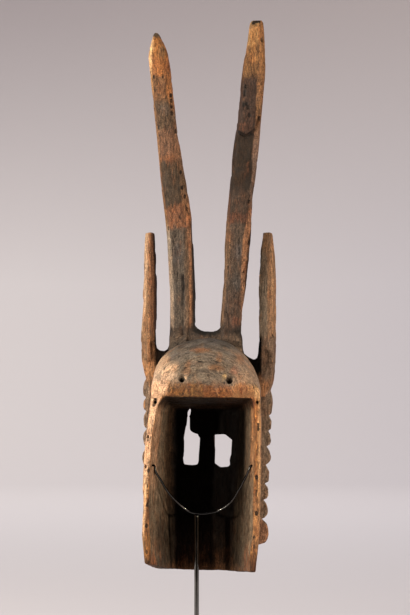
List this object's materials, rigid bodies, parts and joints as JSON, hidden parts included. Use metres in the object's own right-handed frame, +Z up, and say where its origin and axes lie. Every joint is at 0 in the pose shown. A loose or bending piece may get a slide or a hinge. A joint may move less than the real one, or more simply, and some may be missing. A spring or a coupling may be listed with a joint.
{
  "type": "carved antelope mask on a display stand",
  "caption": "Carved wooden antelope mask with a deep hollow back, long horns and upright ears, held up by a rod, a bent wire and a flat foot.",
  "frame": {"origin": "middle of the underside of the stand's foot", "axes": "+Z up, +Y the way the mask's face looks, +X to the right as seen from the open back"},
  "size_m": [0.1809, 0.192, 0.8215],
  "materials": {
    "carved_wood": "old dark patina, worn to bare warm wood on edges and horn tips",
    "black_steel": "glossy black"
  },
  "bodies": {
    "root": {"mask": "carved_wood", "cradle_wire": "black_steel", "stand_rod": "black_steel", "stand_foot": "black_steel"}
  },
  "joints": []
}
